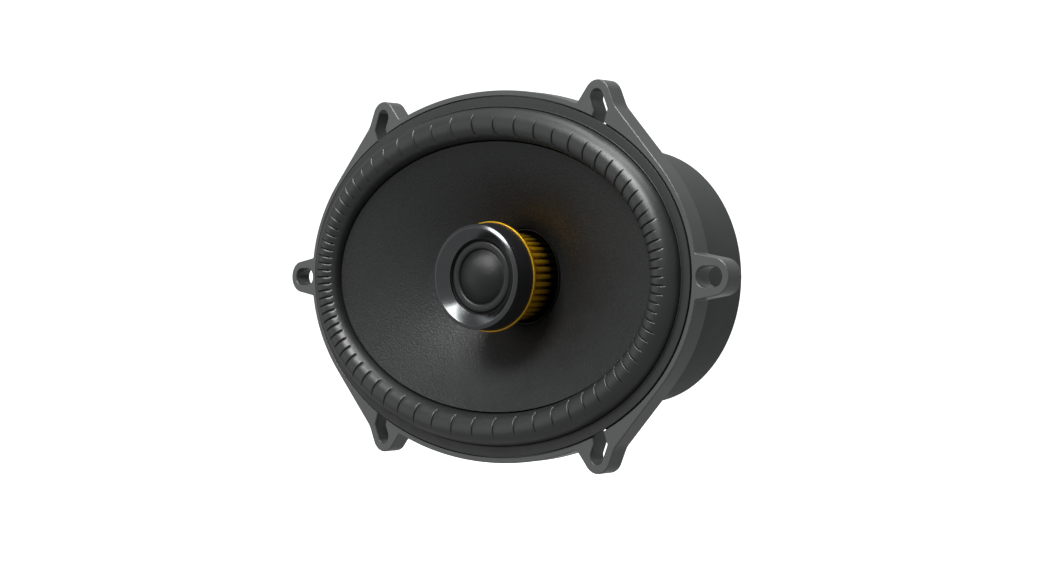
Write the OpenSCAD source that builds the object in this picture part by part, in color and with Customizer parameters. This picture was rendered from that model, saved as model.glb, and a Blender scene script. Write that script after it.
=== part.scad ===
// Two-way coaxial car loudspeaker for an oval 6 x 8 inch opening.
// The speaker's axis lies along Y: it fires towards -Y, its length is along X and up is +Z.
// The origin is the centre of the mounting plane, which is the rear face of the flange.

/* [Cone and surround] */
// Half length of the cone's outer edge, along X
cone_edge_x = 82.5; // [80:0.5:84]
// Half height of the cone's outer edge, along Z
cone_edge_z = 50.1; // [48.5:0.1:51]
// Width of the half-roll surround, from the cone's edge to its outer foot
roll_width = 12.4; // [11:0.1:12.6]
// Depth of the cone, from its outer edge back to its neck
cone_depth = 22.7; // [18:0.1:24]
// Thickness of the cone
cone_wall = 1.2; // [0.8:0.1:1.6]

/* [Frame] */
// Thickness of the flange
flange_t = 7; // [6:0.1:8]
// Distance of the flange's outer edge outside the cone's edge
flange_offset = 18.7; // [18.2:0.1:19.2]
// Radius of the round rear can
can_r = 51.3; // [50.6:0.1:52.5]
// Rear face of the magnet cover, behind the mounting plane
depth = 83.3; // [83.3:0.1:86]
// Number of legs between the flange and the rear pot
legs = 14; // [10:4:18]
// Width of a leg where it meets the flange
leg_w = 12.5; // [9:0.5:13]

/* [Mounting] */
// Distance between the end slots' centres
end_slot_spacing = 212.6; // [210:0.1:214]
// Length of an end slot, end to end
end_slot_l = 10.8; // [9:0.1:11.2]
// Width of an end slot
end_slot_w = 6.8; // [5.5:0.1:7]
// Width of a corner slot
corner_slot_w = 5.8; // [5.4:0.1:6]

/* [Tweeter] */
// Angle by which the tweeter's head is aimed off the axis, towards +X
tweeter_tilt = 8.5; // [0:0.5:10]
// Radius of the tweeter bezel's front rim
rim_r = 19.5; // [19.2:0.1:19.6]
// Radius of the thin ring behind the tweeter's housing
trim_r = 20.65; // [20.4:0.05:21]
// Radius of the dome
dome_r = 10; // [9.6:0.1:10.2]
// Height of the dome
dome_h = 4.4; // [3.6:0.1:5]
// Radius over the post's cooling fins
fin_r = 16.5; // [16:0.1:16.8]
// Number of cooling fins on the post
fins = 36; // [30:1:40]

/* [Motor] */
// Inner radius of the voice coil's former
former_r = 17.75; // [17.7:0.05:17.85]
// Radius of the magnet
magnet_r = 44; // [40:0.5:44.5]
// Thickness of the magnet
magnet_t = 16; // [14:0.1:16]
// Cone travel each way, from its rest place
travel = 5; // [3:0.1:5]

/* [Hidden] */

round_fn = 96;
steps = 96;

// Stations along the axis, from the front to the rear
front_y = -flange_t;
recess_y = front_y + 1.6;
foot_t = 0.8;
edge_y = front_y;
neck_y = edge_y + cone_depth;
collar_y = 9;
spider_y = 34;
pot_y = 31;
web_y = 46.5;
web_t = 2;
plate_t = 6;
plate_y = web_y + web_t;
magnet_y = plate_y + plate_t;
yoke_y = magnet_y + magnet_t;
yoke_t = 5.5;
pot_end_y = 62;
crease = 0.6;

// Distances outside the cone's edge
roll_r = roll_width / 2;
recess_offset = 16.75;
ring_offset = 16.2;
opening_offset = 5;
bowl_offset = 7.3;
wall = 2.4;

// Motor radii
former_t = 0.35;
former_out = former_r + former_t;
coil_out = former_out + 0.65;
pole_r = former_r - 0.45;
gap_r = coil_out + 0.55;
bore_r = 5;
stem_r = 4.9;
coil_l = plate_t + 2 * travel;
coil_y = plate_y + plate_t / 2 - coil_l / 2;
screw_circle = 33;
nut_t = 2.5;

// Ears: a corner ear is a round tip, a short inner flank and a long flank to the flange's end
ear_tip = [56.6, 62.6];
ear_r = 6.2;
ear_flank = [64.9, 59.2];
ear_foot_t = 60.2;
ear_end_t = 30;
slot_bend = [58.5, 58.1];
slot_mouth = [56.9, 54];
end_ear_r = 6.3;
end_ear_x = 108.3;
end_foot_t = 5.5;

// Tweeter head, measured forward from its pivot
pivot_y = -1.6;
trim_h = 1.4;
housing_h = 2.6;
rim_h = 12;
rim_w = 1.5;
rim_drop = 0.7;
opening_r = 13.9;
opening_h = 8.5;
bezel_base_h = 7.7;
diaphragm_h = 7.2;
surround_foot_h = 6.5;
cup_h = -3;
cup_r = 13.4;
cup_top = 6.3;
cup_floor_h = -1;
pole_plate_t = 2.6;
pole_plate_h = cup_top - 0.2 - pole_plate_t;
coil_gap = 0.35;

// Terminals
board_z = -60;
board_t = 1.8;
board_x = 32;
board_y = [9, 33];
blade_t = 0.8;
rivet_x = [-10, 10];
rivet_y = 14;
peg_y = 21;
capacitor_x = -24.4;
capacitor_z = -52.3;
capacitor_r = 5.4;

// Tweeter leads and tinsel leads, by hand; a tweeter lead's points are [Y, Z]
lead_r = 0.8;
lead_gap = 1.2;
exit_y = 42.4;
lead_z = -45.7;
lead_run = [
    [2, 0], [20, 0], [40, 0], [60, 0], [74, 0], [77, -0.4], [79, -2], [79.7, -5],
    [79.7, -15], [79.7, -25], [79.7, -35], [79.7, -41], [79, -44], [77, -45.4], [74, lead_z],
    [65, lead_z], [55, lead_z], [47, lead_z], [44, -46.6], [42.6, -49], [exit_y, -52], [41, -54.4],
    [38, -55.4], [35, -56.4], [33, -57]
];
tinsel_r = 0.6;
tinsel_run = [
    [15, 22, -57.3], [15, 20.5, -54], [14.6, 19.6, -50], [14, 19.6, -46], [13, 19.4, -42],
    [12, 18.4, -38], [11, 16, -34.6], [10.4, 13, -32.4], [10, 10.6, -31]
];

// A point on the line parallel to the cone's edge, o outside it, at the angle t
function oval_point(t, o) =
    let (nx = cos(t) / cone_edge_x, nz = sin(t) / cone_edge_z, l = norm([nx, nz]))
    [cone_edge_x * cos(t) + o * nx / l, cone_edge_z * sin(t) + o * nz / l];

// The whole line, as a list of [x, z] points
function oval(o, n = steps) = [for (i = [0:n - 1]) oval_point(360 * i / n, o)];

// A closed loop at the depth y: the oval at o where blend is 0, a circle of radius r where it is 1
function loop(y, o, r, blend) = [
    for (i = [0:steps - 1])
        let (t = 360 * i / steps, p = (1 - blend) * oval_point(t, o) + blend * r * [cos(t), sin(t)])
        [p[0], y, p[1]]
];

// The two triangles between the points i and i + 1 of one loop and of the next one
function quad(a, b, i, n) =
    let (k = (i + 1) % n) [[a + i, b + i, a + k], [a + k, b + i, b + k]];

// A solid ring whose skin runs through closed loops of points and back to the first
module skin(loops) {
    n = len(loops[0]);
    m = len(loops);
    polyhedron(
        points = [for (l = loops) each l],
        faces = [for (j = [0:m - 1], i = [0:n - 1]) each quad(j * n, ((j + 1) % m) * n, i, n)]
    );
}

// A solid bar whose skin runs through closed loops of points, with flat ends
module bar(loops) {
    n = len(loops[0]);
    m = len(loops);
    polyhedron(
        points = [for (l = loops) each l],
        faces = [
            [for (i = [0:n - 1]) i],
            [for (i = [0:n - 1]) m * n - 1 - i],
            for (j = [0:m - 2], i = [0:n - 1]) each quad(j * n, (j + 1) * n, i, n)
        ]
    );
}

// A solid ring of one section swept round the cone's edge; the section's points are [offset, y]
module oval_ring(section) skin([for (p = section) loop(p[1], p[0], 0, 0)]);

// A flat shape drawn in X and Z, made solid from y0 to y1
module slab(y0, y1)
    translate([0, y1, 0]) rotate([90, 0, 0]) linear_extrude(y1 - y0) children();

// A turned solid about the speaker's axis; the profile's points are [radius, y]
module turned(profile)
    rotate([-90, 0, 0]) rotate_extrude($fn = round_fn) polygon(profile);

// A plain turned ring
module ring(r_in, r_out, y0, y1)
    turned([[r_in, y0], [r_out, y0], [r_out, y1], [r_in, y1]]);

// A place on the tweeter's head, with +Z pointing forward along its own axis
module head()
    translate([0, pivot_y, 0]) rotate([0, 0, tweeter_tilt]) rotate([90, 0, 0]) children();

// A turned solid on the tweeter's head; the profile's points are [radius, height forward]
module head_turned(profile)
    head() rotate_extrude($fn = round_fn) polygon(profile);

module head_ring(r_in, r_out, h0, h1)
    head_turned([[r_in, h0], [r_out, h0], [r_out, h1], [r_in, h1]]);

// A round wire through points; side is a direction that the wire never runs along
function unit(v) = v / norm(v);
function heading(path, i) = unit(path[min(i + 1, len(path) - 1)] - path[max(i - 1, 0)]);

module wire(path, r, side, n = 8)
    bar([
        for (i = [0:len(path) - 1])
            let (u = unit(cross(heading(path, i), side)), v = cross(heading(path, i), u))
            [for (k = [0:n - 1]) path[i] + r * (cos(360 * k / n) * u + sin(360 * k / n) * v)]
    ]);

// The four places that mirror each other left to right and top to bottom
module corners()
    for (sx = [0, 1], sz = [0, 1])
        mirror([sx, 0]) mirror([0, sz]) children();

module ends()
    for (sx = [0, 1])
        mirror([sx, 0]) children();

// The direction from a circle's centre to the point where a line from p touches it
function touch(c, r, p, side) =
    atan2(p[1] - c[1], p[0] - c[0]) + side * acos(r / norm(p - c));

function arc(c, r, from, to, n) =
    [for (i = [0:n]) c + r * [cos(from + (to - from) * i / n), sin(from + (to - from) * i / n)]];

// A quarter of the flange's outline, from the middle of an end to the middle of a side
function quarter() =
    let (
        foot = oval_point(ear_foot_t, flange_offset),
        end_foot = oval_point(end_foot_t, flange_offset),
        end_ear = [end_ear_x, 0],
        step = 360 / steps
    )
    [
        each arc(end_ear, end_ear_r, 0, touch(end_ear, end_ear_r, end_foot, -1), 8),
        end_foot,
        for (t = [2 * step:step:ear_end_t]) oval_point(t, flange_offset),
        ear_flank,
        each arc(
            ear_tip, ear_r,
            touch(ear_tip, ear_r, ear_flank, 1), touch(ear_tip, ear_r, foot, -1) + 360, 12
        ),
        for (t = [ear_foot_t:4:88]) oval_point(t, flange_offset)
    ];

function reversed(list) = [for (i = [len(list) - 1:-1:0]) list[i]];

module flange_outline() {
    q = quarter();
    top = [each q, for (p = reversed(q)) [-p[0], p[1]]];
    bottom = [for (i = [len(top) - 2:-1:1]) [top[i][0], -top[i][1]]];
    polygon([each top, each bottom]);
}

// A dog-leg slot of the radius r that turns right at its bend
module dog_leg(tip, bend, mouth, r) {
    a = atan2(bend[1] - tip[1], bend[0] - tip[0]);
    b = atan2(mouth[1] - bend[1], mouth[0] - bend[0]);
    inner = (a + b) / 2 - 90;
    corner = r / cos((a - b) / 2) * [cos(inner), sin(inner)];
    polygon([
        each arc(tip, r, a + 90, a + 270, 12),
        bend + corner,
        each arc(mouth, r, b - 90, b + 90, 12),
        bend - corner
    ]);
}

module end_slot() {
    half = (end_slot_l - end_slot_w) / 2;
    translate([end_slot_spacing / 2, 0]) {
        translate([-half, 0]) circle(end_slot_w / 2, $fn = 48);
        translate([half, 0]) circle(end_slot_w / 2, $fn = 48);
        square([2 * half, end_slot_w], center = true);
    }
}

module mounting_slots() {
    corners() dog_leg(ear_tip, slot_bend, slot_mouth, corner_slot_w / 2);
    ends() end_slot();
}

// The flange: ears, slots, a recess for the surround's foot and the opening for the cone
module flange() {
    difference() {
        slab(front_y, 0) flange_outline();
        slab(front_y - 1, recess_y) polygon(oval(recess_offset));
        slab(recess_y - 1, 1) polygon(oval(opening_offset));
        slab(front_y - 1, 1) mounting_slots();
    }
}

// The straight oval collar behind the flange
module collar() {
    slab(-1, collar_y) difference() {
        polygon(oval(bowl_offset));
        polygon(oval(bowl_offset - wall));
    }
}

// A leg from the collar to the pot, at the angle t, as wide at the collar as leg_w
module leg(t) {
    reach = [cone_edge_x + bowl_offset, cone_edge_z + bowl_offset];
    half = leg_w / 2 / norm([reach[0] * sin(t), reach[1] * cos(t)]) * 180 / PI;
    columns = 4;
    bar([
        for (i = [0:columns])
            let (a = t - half + 2 * half * i / columns, c = [cos(a), sin(a)])
            [
                for (p = [
                    [oval_point(a, bowl_offset - 0.3), collar_y - 0.5],
                    [(can_r - 0.3) * c, pot_y + 3.5],
                    [(can_r - wall + 0.5) * c, pot_y + 1],
                    [oval_point(a, bowl_offset - wall + 0.3), collar_y - 3]
                ]) [p[0][0], p[1], p[0][1]]
            ]
    ]);
}

// The legs, spaced evenly round the oval and mirrored left to right and top to bottom
module legs_all() {
    for (k = [0:legs - 1]) {
        turn = 360 * (k + 0.5) / legs;
        leg(turn + 7 * sin(2 * turn));
    }
}

// The round pot: its wall, the spider's shelf and the web that the motor hangs on
module pot() {
    turned([
        [can_r - wall, pot_y], [can_r, pot_y], [can_r, pot_end_y - crease],
        [can_r - crease, pot_end_y], [can_r - wall, pot_end_y], [can_r - wall, plate_y],
        [24, plate_y], [24, web_y], [can_r - wall, web_y], [can_r - wall, spider_y + 2],
        [38, spider_y + 2], [38, spider_y], [can_r - wall, spider_y]
    ]);
}

module basket() {
    color("dimgray") difference() {
        union() {
            flange();
            collar();
            legs_all();
            pot();
            translate([-5, peg_y - 5, board_z]) cube([10, 10, 7]);
        }
        for (a = [45:90:315])
            rotate([0, a, 0]) translate([screw_circle, web_y - 1, 0]) rotate([-90, 0, 0])
                cylinder(r = 2.05, h = 4, $fn = 32);
        translate([0, web_y - 1, lead_z]) rotate([-90, 0, 0]) cylinder(r = 3, h = 4, $fn = 32);
        translate([0, exit_y, -54]) cylinder(r = 3.2, h = 8, $fn = 32);
        translate([0, peg_y, board_z - 1]) cylinder(r = 1.5, h = 8, $fn = 32);
    }
}

module gasket_ring() {
    color([0.17, 0.17, 0.18]) difference() {
        slab(front_y - 0.3, recess_y - foot_t) polygon(oval(ring_offset));
        slab(front_y - 1, recess_y) polygon(oval(roll_width));
    }
}

module surround() {
    inner = roll_r - foot_t;
    arc = 8;
    color([0.13, 0.13, 0.14]) oval_ring([
        [ring_offset, recess_y - foot_t], [roll_width - 0.05, recess_y - foot_t],
        for (i = [0:arc])
            let (t = 180 * i / arc)
            [roll_r + 0.3 + (roll_r - 0.35) * cos(t), edge_y - roll_r * sin(t)],
        [0.3, recess_y],
        for (i = [arc:-1:0])
            let (t = 180 * i / arc)
            [roll_r + 0.3 + (inner - 0.35) * cos(t), edge_y - inner * sin(t)],
        [roll_r + inner, recess_y],
        [ring_offset, recess_y]
    ]);
}

module spider() {
    waves = 5;
    r_in = former_out + 0.3;
    pitch = (38 - r_in - 1) / waves;
    amp = 1.4;
    mid = spider_y - 1.6;
    color("goldenrod") turned([
        [r_in, mid],
        for (i = [0:waves - 1])
            each [[r_in + 1 + i * pitch, mid], [r_in + 1 + (i + 0.5) * pitch, mid - amp * 2]],
        [38, mid], [42.5, spider_y - 0.6], [42.5, spider_y], [38, spider_y],
        for (i = [waves - 1:-1:0])
            each [
                [r_in + 1 + (i + 1) * pitch, mid + 0.8],
                [r_in + 1 + (i + 0.5) * pitch, mid - amp * 2 + 0.8]
            ],
        [r_in, mid + 0.8]
    ]);
}

module front_plate() {
    color("silver") difference() {
        ring(gap_r, magnet_r - 1, plate_y, magnet_y);
        for (a = [45:90:315])
            rotate([0, a, 0]) translate([screw_circle, plate_y - 1, 0]) rotate([-90, 0, 0])
                cylinder(r = 1.7, h = plate_t, $fn = 32);
    }
}

module magnet() {
    c = 1;
    color([0.2, 0.2, 0.21]) turned([
        [22, magnet_y], [magnet_r - c, magnet_y], [magnet_r, magnet_y + c],
        [magnet_r, yoke_y - c], [magnet_r - c, yoke_y], [22, yoke_y]
    ]);
}

module yoke() {
    c = 1.2;
    color("silver") turned([
        [bore_r, plate_y], [pole_r - 0.5, plate_y], [pole_r, plate_y + 0.5], [pole_r, yoke_y],
        [magnet_r - 1, yoke_y], [magnet_r - 1, yoke_y + yoke_t - c],
        [magnet_r - 1 - c, yoke_y + yoke_t], [bore_r, yoke_y + yoke_t]
    ]);
}

module shorting_ring() {
    color("silver") ring(coil_out + 0.75, 22, yoke_y - 9, yoke_y);
}

module magnet_cover() {
    r = 1.8;
    corner = [can_r - r, depth - r];
    spigot = can_r - wall - 0.05;
    skin_t = 2.2;
    color([0.22, 0.22, 0.23]) turned([
        [spigot - 1.8, pot_end_y - 6], [spigot, pot_end_y - 6], [spigot, pot_end_y],
        [can_r - crease, pot_end_y], [can_r, pot_end_y + crease],
        for (t = [0:15:90]) corner + r * [cos(t), sin(t)],
        [30, depth], [29, depth - 0.9], [14, depth - 0.9], [13, depth - 0.3], [0, depth - 0.3],
        [0, depth - skin_t], [spigot - 2.8, depth - skin_t], [spigot - 1.8, depth - skin_t - 1]
    ]);
}

// The post: a finned column with an angled seat, a slim neck and a threaded stem
module post() {
    core_r = fin_r - 1.9;
    fin_w = 1.9;
    fin_end = 24;
    neck_r = 9;
    stem_end = yoke_y + yoke_t + nut_t;
    color("gold") difference() {
        union() {
            difference() {
                union() {
                    slab(-8, fin_end) {
                        circle(core_r, $fn = round_fn);
                        for (i = [0:fins - 1])
                            rotate(360 * i / fins) translate([core_r - 1, -fin_w / 2])
                                square([fin_r - core_r + 1, fin_w]);
                    }
                    turned([
                        [0, fin_end - 1], [core_r, fin_end - 1], [neck_r, spider_y],
                        [neck_r, plate_y], [0, plate_y]
                    ]);
                }
                head() translate([0, 0, trim_h]) cylinder(r = 40, h = 20, $fn = 48);
                head() translate([0, 0, cup_h]) cylinder(r = cup_r + 0.1, h = 20, $fn = 64);
            }
            turned([[0, plate_y - 1], [stem_r, plate_y - 1], [stem_r, stem_end], [0, stem_end]]);
        }
        rotate([-90, 0, 0]) translate([0, 0, -10]) cylinder(r = 2.6, h = 100, $fn = 48);
    }
}

module post_nut() {
    y = yoke_y + yoke_t;
    color("silver") difference() {
        slab(y, y + nut_t) circle(8, $fn = 6);
        slab(y - 1, y + 4) circle(stem_r + 0.05, $fn = 48);
    }
}

module trim_ring() {
    color("gold") head_turned([
        [17, trim_h], [trim_r - 0.3, trim_h], [trim_r, trim_h + 0.3],
        [trim_r, housing_h - 0.3], [trim_r - 0.3, housing_h], [17, housing_h]
    ]);
}

module tweeter_housing() {
    t = 1.3;
    front = rim_h - rim_drop - 0.9;
    color([0.07, 0.07, 0.08]) head_turned([
        [cup_r + 0.1, housing_h], [trim_r - 0.45, housing_h], [rim_r - 0.1, front],
        [rim_r - 0.1 - t, front], [trim_r - 0.45 - 2 * t, housing_h + t], [cup_r + 0.1, housing_h + t]
    ]);
}

module tweeter_bezel() {
    seat_r = rim_r - 1.7;
    edge_h = rim_h - rim_drop;
    color([0.42, 0.42, 0.44]) head_turned([
        [opening_r, bezel_base_h], [seat_r, bezel_base_h], [seat_r, edge_h - 0.9],
        [rim_r, edge_h - 0.9], [rim_r, edge_h], [rim_r - rim_w, rim_h], [opening_r, opening_h]
    ]);
}

module tweeter_clamp_ring() {
    color([0.05, 0.05, 0.05]) head_ring(dome_r + 3.5, rim_r - 2, surround_foot_h + 0.3, bezel_base_h);
}

// The dome's surround: a half roll, then a leg down to the foot that the clamp ring holds
module tweeter_surround() {
    roll = 1.5;
    mid = dome_r + 0.25 + roll;
    foot_r = rim_r - 3;
    color([0.1, 0.1, 0.1]) head_turned([
        for (t = [180:-30:0]) [mid + roll * cos(t), diaphragm_h + 0.9 * sin(t)],
        [mid + roll, surround_foot_h + 0.3], [foot_r, surround_foot_h + 0.3],
        [foot_r, surround_foot_h], [mid + roll - 0.3, surround_foot_h]
    ]);
}

function former_in() = dome_r - 0.45 - coil_gap;

module tweeter_pole_plate() {
    color("silver") head_ring(0, former_in(), pole_plate_h, pole_plate_h + pole_plate_t);
}

module tweeter_magnet() {
    color("silver") head_ring(0, former_in() - 0.6, cup_floor_h, pole_plate_h);
}

module tweeter_cup() {
    r_in = dome_r + 0.7;
    lip_h = cup_top - pole_plate_t;
    color("silver") head_turned([
        [0, cup_h], [cup_r - 0.6, cup_h], [cup_r, cup_h + 0.6], [cup_r, cup_top], [r_in, cup_top],
        [r_in, lip_h], [r_in + 0.6, lip_h - 0.6], [r_in + 0.6, cup_floor_h], [0, cup_floor_h]
    ]);
}

module tweeter_dome() {
    ball = (dome_r * dome_r + dome_h * dome_h) / (2 * dome_h);
    inner = ball - 0.4;
    centre = diaphragm_h + dome_h - ball;
    half = asin(dome_r / ball);
    color([0.12, 0.12, 0.13]) head_turned([
        [0, centre + ball], for (t = [6:6:half]) [ball * sin(t), centre + ball * cos(t)],
        [dome_r, diaphragm_h], [dome_r - 0.5, diaphragm_h],
        for (t = [floor(half / 6) * 6:-6:6]) [inner * sin(t) - 0.01, centre + inner * cos(t)],
        [0, centre + inner]
    ]);
}

module tweeter_former() {
    color("black") head_ring(dome_r - 0.45, dome_r - 0.15, pole_plate_h - 0.7, diaphragm_h);
}

module tweeter_coil() {
    color("peru") head_ring(dome_r - 0.15, dome_r + 0.2, pole_plate_h - 0.4, cup_top - 0.1);
}

module plate_screws() {
    color("silver") for (a = [45:90:315])
        rotate([0, a, 0]) translate([screw_circle, 0, 0]) turned([
            [0, web_y - 2], [2.6, web_y - 2], [3.4, web_y - 1], [3.4, web_y], [1.7, web_y],
            [1.7, plate_y + 4], [0, plate_y + 4]
        ]);
}

module terminal_board() {
    color([0.1, 0.1, 0.1]) difference() {
        translate([-board_x / 2, board_y[0], board_z - board_t])
            cube([board_x, board_y[1] - board_y[0], board_t]);
        for (x = rivet_x)
            translate([x, rivet_y, board_z - 5]) cylinder(r = 1.25, h = 8, $fn = 32);
        translate([0, peg_y, board_z - 5]) cylinder(r = 1.5, h = 8, $fn = 32);
    }
}

// A push-on blade: a flat tongue with a hole for its rivet and a bevelled tip
module blade(x, w) {
    color("silver") difference() {
        translate([x, 0, board_z - board_t - blade_t]) linear_extrude(blade_t) polygon([
            [-w / 2, 11], [w / 2, 11], [w / 2, 38], [w / 2 - 1, 40], [1 - w / 2, 40], [-w / 2, 38]
        ]);
        translate([x, rivet_y, board_z - 5]) cylinder(r = 1.25, h = 8, $fn = 32);
        translate([x, 35, board_z - 5]) cylinder(r = 0.8, h = 8, $fn = 32);
    }
}

module terminal_positive() blade(rivet_x[1], 6.3);

module terminal_negative() blade(rivet_x[0], 4.8);

module terminal_rivets() {
    under = board_z - board_t - blade_t;
    color("silver") {
        for (x = rivet_x)
            translate([x, rivet_y, 0]) {
                translate([0, 0, under - 0.8]) cylinder(r = 2.2, h = 0.8, $fn = 32);
                translate([0, 0, under - 0.1]) cylinder(r = 1.2, h = board_z + 0.1 - under, $fn = 32);
                translate([0, 0, board_z]) cylinder(r = 2, h = 0.7, $fn = 32);
            }
        translate([0, peg_y, board_z - board_t - 1]) cylinder(r = 2.6, h = 1, $fn = 32);
        translate([0, peg_y, board_z - board_t - 0.1]) cylinder(r = 1.45, h = 5, $fn = 32);
    }
}

module tinsel(sign)
    color("peru") wire([for (p = tinsel_run) [sign * p[0], p[1], p[2]]], tinsel_r, [1, 0, 0]);

module tinsel_positive() tinsel(1);

module tinsel_negative() tinsel(-1);

module capacitor() {
    color("darkblue") translate([capacitor_x, 0, capacitor_z]) {
        rotate([-90, 0, 0]) translate([0, 0, 42]) cylinder(r = capacitor_r, h = 20, $fn = 48);
        rotate([-90, 0, 0]) translate([0, 0, 37]) cylinder(r = 0.4, h = 6, $fn = 16);
    }
}

module capacitor_clip() {
    band_r = capacitor_r + 1.2;
    color([0.1, 0.1, 0.1]) translate([capacitor_x, 0, capacitor_z]) difference() {
        union() {
            slab(49, 54) circle(band_r, $fn = 48);
            slab(49, 54) rotate(65) translate([0, -band_r]) square([7.5, 2 * band_r]);
        }
        slab(48, 55) circle(capacitor_r, $fn = 48);
        slab(48, 55) translate([-capacitor_x, -capacitor_z]) circle(can_r, $fn = round_fn);
    }
}

module tweeter_lead(sign)
    color(sign > 0 ? "firebrick" : "black")
        wire([for (p = lead_run) [sign * lead_gap, p[0], p[1]]], lead_r, [1, 0, 0]);

module tweeter_lead_positive() tweeter_lead(1);

module tweeter_lead_negative() tweeter_lead(-1);

module lead_grommet() {
    color([0.05, 0.05, 0.05]) difference() {
        translate([0, exit_y, -53.2]) {
            cylinder(r = 3.1, h = 5.4, $fn = 48);
            cylinder(r = 4.4, h = 1.4, $fn = 48);
        }
        translate([0, exit_y, -60]) cylinder(r = 2.3, h = 20, $fn = 48);
    }
}

// The cone: an oval front edge that runs back to a round neck
module cone() {
    bow = 1.6;
    rows = 5;
    color([0.16, 0.16, 0.16]) skin([
        for (j = [0:rows])
            let (s = j / rows)
            loop(edge_y + cone_depth * s - bow * sin(180 * s), 0, former_out, s),
        for (j = [rows:-1:0])
            let (s = j / rows)
            loop(edge_y + cone_wall + cone_depth * s - bow * sin(180 * s), 0, former_out, s)
    ]);
}

module neck_collar() {
    y = neck_y + cone_wall;
    color([0.08, 0.08, 0.08]) turned([
        [former_out, y], [former_out + 1.6, y], [former_out + 0.4, y + 3], [former_out, y + 3]
    ]);
}

module former() {
    color("black") ring(former_r, former_out, neck_y - 1, coil_y + coil_l + 1);
}

module voice_coil() {
    color("peru") ring(former_out, coil_out, coil_y, coil_y + coil_l);
}

module lead_eyelets() {
    color("silver") for (s = [-1, 1])
        translate([s * 10, 7.4, -31]) rotate([-90, 0, 0]) cylinder(r = 1.5, h = 2.6, $fn = 32);
}

basket();
gasket_ring();
surround();
spider();
front_plate();
magnet();
yoke();
shorting_ring();
magnet_cover();
post();
post_nut();
tweeter_housing();
trim_ring();
tweeter_bezel();
tweeter_clamp_ring();
tweeter_surround();
tweeter_pole_plate();
tweeter_magnet();
tweeter_cup();
plate_screws();
terminal_board();
terminal_positive();
terminal_negative();
terminal_rivets();
tinsel_positive();
tinsel_negative();
capacitor();
capacitor_clip();
tweeter_lead_positive();
tweeter_lead_negative();
lead_grommet();
cone();
neck_collar();
former();
voice_coil();
lead_eyelets();
tweeter_dome();
tweeter_former();
tweeter_coil();
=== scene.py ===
import math

import bmesh
import bpy
import numpy as np
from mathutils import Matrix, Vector, geometry


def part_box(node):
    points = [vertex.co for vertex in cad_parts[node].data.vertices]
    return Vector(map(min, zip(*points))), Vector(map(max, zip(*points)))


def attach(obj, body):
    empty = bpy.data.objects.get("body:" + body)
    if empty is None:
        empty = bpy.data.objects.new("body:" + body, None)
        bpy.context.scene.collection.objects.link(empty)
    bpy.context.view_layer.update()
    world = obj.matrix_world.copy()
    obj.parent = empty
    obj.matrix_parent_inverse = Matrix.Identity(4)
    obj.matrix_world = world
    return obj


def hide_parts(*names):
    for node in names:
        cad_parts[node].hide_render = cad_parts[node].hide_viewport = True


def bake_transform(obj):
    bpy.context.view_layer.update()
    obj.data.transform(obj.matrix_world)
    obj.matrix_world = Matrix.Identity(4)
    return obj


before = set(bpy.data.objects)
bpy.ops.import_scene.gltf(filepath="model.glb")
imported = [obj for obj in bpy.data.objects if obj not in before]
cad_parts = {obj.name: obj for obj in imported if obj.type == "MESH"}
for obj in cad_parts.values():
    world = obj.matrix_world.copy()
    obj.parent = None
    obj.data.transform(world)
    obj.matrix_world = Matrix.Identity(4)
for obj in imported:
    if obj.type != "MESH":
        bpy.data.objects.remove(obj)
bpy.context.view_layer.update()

# All shapes below are worked out in millimetres in the part's own frame and stored in metres.
MM = 0.001
ROOT = "frame_and_motor"
CONE = "cone_assembly"
DOME = "tweeter_diaphragm"
TAU = 2 * math.pi


def low(node):
    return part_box(node)[0] / MM


def high(node):
    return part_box(node)[1] / MM


# ---------------------------------------------------------------- shared sizes, some from the frame
FRONT = low("basket").y
EDGE_A = high("cone").x
EDGE_B = high("cone").z
EDGE_Y = FRONT
CAN_R = high("magnet_cover").x
DEPTH = high("magnet_cover").y
CREASE_Y = 62.0
NECK_R = high("former").x
NECK_DEPTH = 22.7
RECESS_Y = FRONT + 1.6
OUTER = 18.7
RECESS = 16.75
RING = 16.2
ROLL = 12.4
OPENING = 5.0
BOWL = 7.3
WALL = 2.4
PIVOT_Y = -1.6
TILT = math.radians(8.5)


# ---------------------------------------------------------------- materials
def srgb(r, g, b):
    """A display colour, 0 to 255, as a linear one."""
    return tuple(
        (v / 255 / 12.92) if v / 255 <= 0.04045 else ((v / 255 + 0.055) / 1.055) ** 2.4 for v in (r, g, b)
    ) + (1.0,)


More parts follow.
